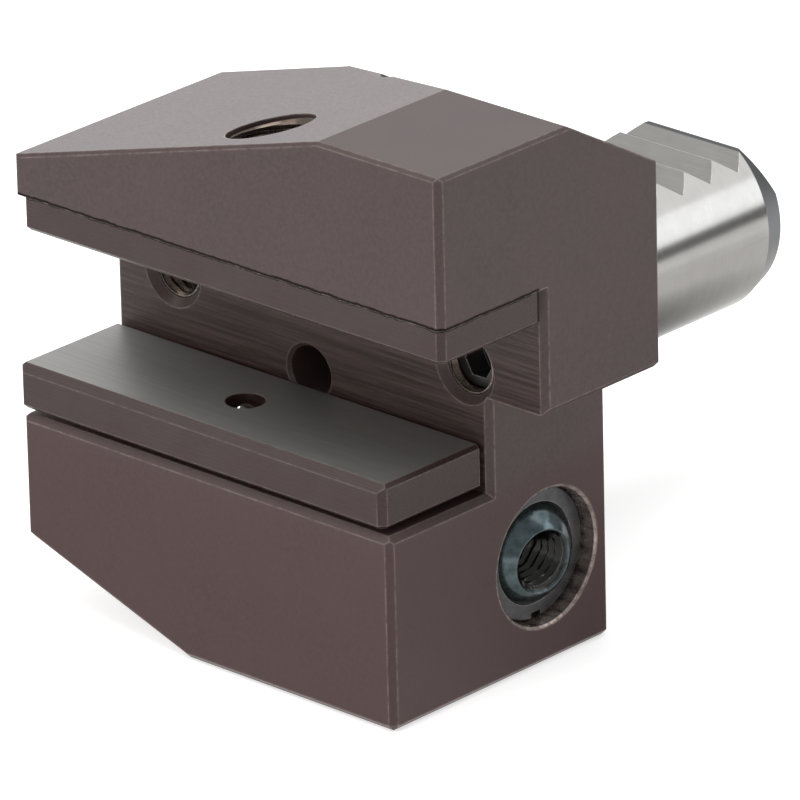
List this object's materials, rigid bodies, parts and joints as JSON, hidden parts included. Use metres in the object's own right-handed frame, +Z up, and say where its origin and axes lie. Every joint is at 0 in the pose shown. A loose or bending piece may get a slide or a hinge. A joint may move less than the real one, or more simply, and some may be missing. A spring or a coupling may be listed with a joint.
{
  "type": "lathe tool holder",
  "caption": "Dark steel turning-tool holder: serrated round shank, transverse square-tool slot with seat plate and clamp bar, and a swivelling coolant ball.",
  "frame": {"origin": "where the shank axis meets the flange face of the block", "axes": "+Y along the shank towards the turret, +X along the tool slot towards the overhanging end, +Z up, from the clamp bar to the seat plate"},
  "size_m": [0.0555, 0.0705, 0.0574],
  "materials": {
    "body_steel": "dark brown manganese phosphate over a fine milled surface",
    "ground_steel": "ground and polished",
    "plate_steel": "hardened, ground, dark",
    "screw_steel": "black oxide",
    "bright_screw": "bare steel, lightly oiled",
    "spring_steel": "drawn wire",
    "ring_steel": "black oxide, turned",
    "ball_steel": "polished, blue-green temper",
    "seal_rubber": "nitrile rubber"
  },
  "bodies": {
    "holder": {"holder_body": "body_steel", "shank": "ground_steel", "locking_pin": "screw_steel", "shank_end_plug": "screw_steel", "seat_plate": "plate_steel", "seat_plate_screw": "screw_steel", "seat_plate_dowels": "screw_steel", "return_spring": "spring_steel", "guide_plug": "screw_steel", "wall_plugs": "screw_steel", "ball_seat": "ring_steel", "ball_ring": "ring_steel", "flange_seal": "seal_rubber", "inlet_seal": "seal_rubber", "coolant_plug": "screw_steel"},
    "bar": {"clamp_bar": "plate_steel", "thrust_pads": "screw_steel", "bar_screw": "bright_screw", "guide_pin": "screw_steel"},
    "screw_left": {"clamp_screw_left": "screw_steel"},
    "screw_right": {"clamp_screw_right": "screw_steel"},
    "ball_swivel": {"ball_seal": "seal_rubber"},
    "ball": {"nozzle_ball": "ball_steel"}
  },
  "joints": [
    {"name": "bar_slide", "type": "slide", "parent": "holder", "child": "bar", "axis": [0, 0, 1], "range_m": [-0.00024, 0.00314], "deforming": ["return_spring"]},
    {"name": "clamp_screw_right_turn", "type": "hinge", "parent": "bar", "child": "screw_right", "pos_m": [0.009, -0.0233, -0.014], "axis": [0, 0, 1], "range_deg": [-70.1, 905.3]},
    {"name": "clamp_screw_left_turn", "type": "hinge", "parent": "bar", "child": "screw_left", "pos_m": [-0.0165, -0.0233, -0.014], "axis": [0, 0, 1], "range_deg": [-70.1, 905.3]},
    {"name": "ball_spin", "type": "hinge", "parent": "holder", "child": "ball_swivel", "pos_m": [0.01625, -0.00885, -0.01615], "axis": [1, 0, 0], "continuous": true},
    {"name": "ball_tilt", "type": "hinge", "parent": "ball_swivel", "child": "ball", "pos_m": [0.01625, -0.00885, -0.01615], "axis": [0, 0.2707, -0.9627], "range_deg": [-28, 12]}
  ],
  "couplings": [
    {"joint": "clamp_screw_right_turn", "follows": "bar_slide", "rad_per_m": 5026.5},
    {"joint": "clamp_screw_left_turn", "follows": "bar_slide", "rad_per_m": 5026.5}
  ]
}
